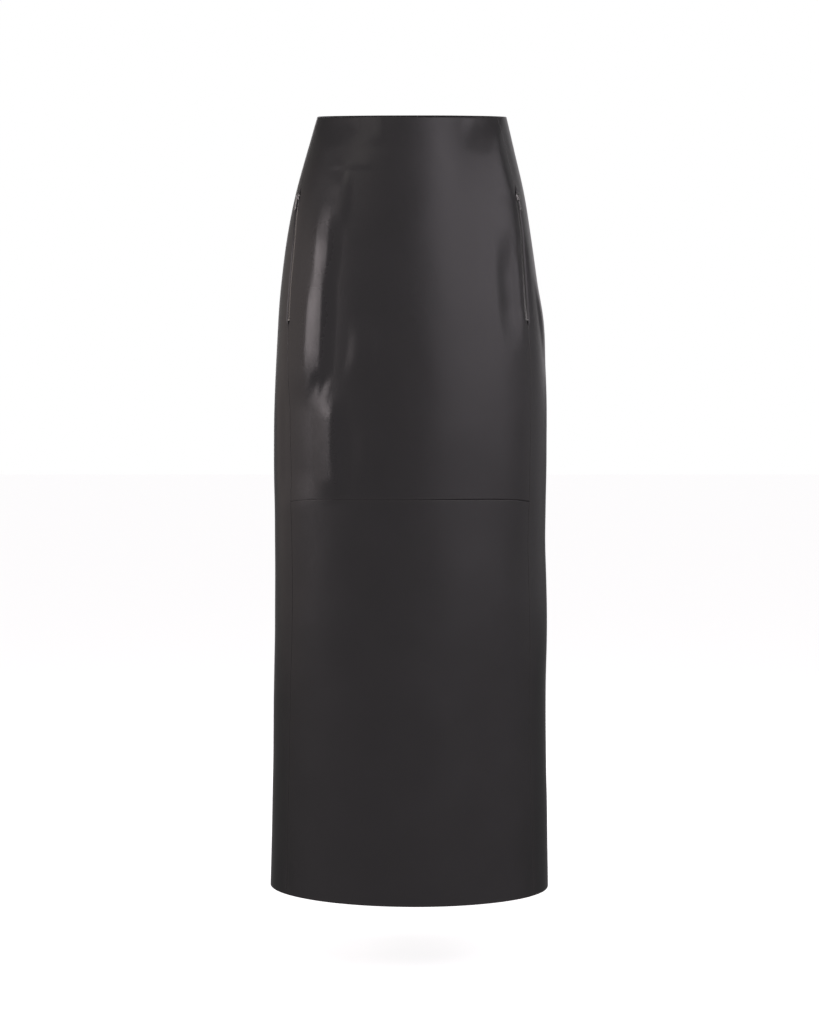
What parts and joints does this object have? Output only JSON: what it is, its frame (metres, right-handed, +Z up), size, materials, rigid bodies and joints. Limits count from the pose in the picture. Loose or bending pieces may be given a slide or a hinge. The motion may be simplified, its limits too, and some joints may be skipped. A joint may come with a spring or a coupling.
{
  "type": "leather pencil skirt",
  "caption": "Long black leather pencil skirt, hollow as worn, with a front thigh seam, seam zips at the hips, a back zip and a slit at the foot of the back seam.",
  "frame": {"origin": "middle of the waist, level with its rim at the sides", "axes": "+Z up, -Y out of the front, +X to the right as the front is looked at"},
  "size_m": [0.3522, 0.268, 0.9837],
  "materials": {
    "leather": "smooth semi-gloss black nappa",
    "zip_tape": "black woven tape",
    "zip_metal": "dark polished nickel"
  },
  "bodies": {
    "skirt": {"front_upper": "leather", "front_lower": "leather", "back_left": "leather", "back_right": "leather", "zip_left": "zip_tape", "zip_right": "zip_tape", "zip_back": "zip_tape", "slider_left": "zip_metal", "slider_right": "zip_metal", "slider_back": "zip_metal"},
    "tab_left": {"pull_left": "zip_metal"},
    "tab_right": {"pull_right": "zip_metal"},
    "tab_back": {"pull_back": "zip_metal"}
  },
  "joints": [
    {"name": "tab_left_hinge", "type": "hinge", "parent": "skirt", "child": "tab_left", "pos_m": [-0.13961, -0.03041, -0.10368], "axis": [-0.4128, 0.9077, -0.0757], "range_deg": [0, 170]},
    {"name": "tab_right_hinge", "type": "hinge", "parent": "skirt", "child": "tab_right", "pos_m": [0.13451, -0.04319, -0.1051], "axis": [-0.5243, -0.8497, -0.0563], "range_deg": [0, 170]},
    {"name": "tab_back_hinge", "type": "hinge", "parent": "skirt", "child": "tab_back", "pos_m": [0.01047, 0.08966, -0.00266], "axis": [0.999, -0.0442, -0.0055], "range_deg": [0, 170]}
  ]
}
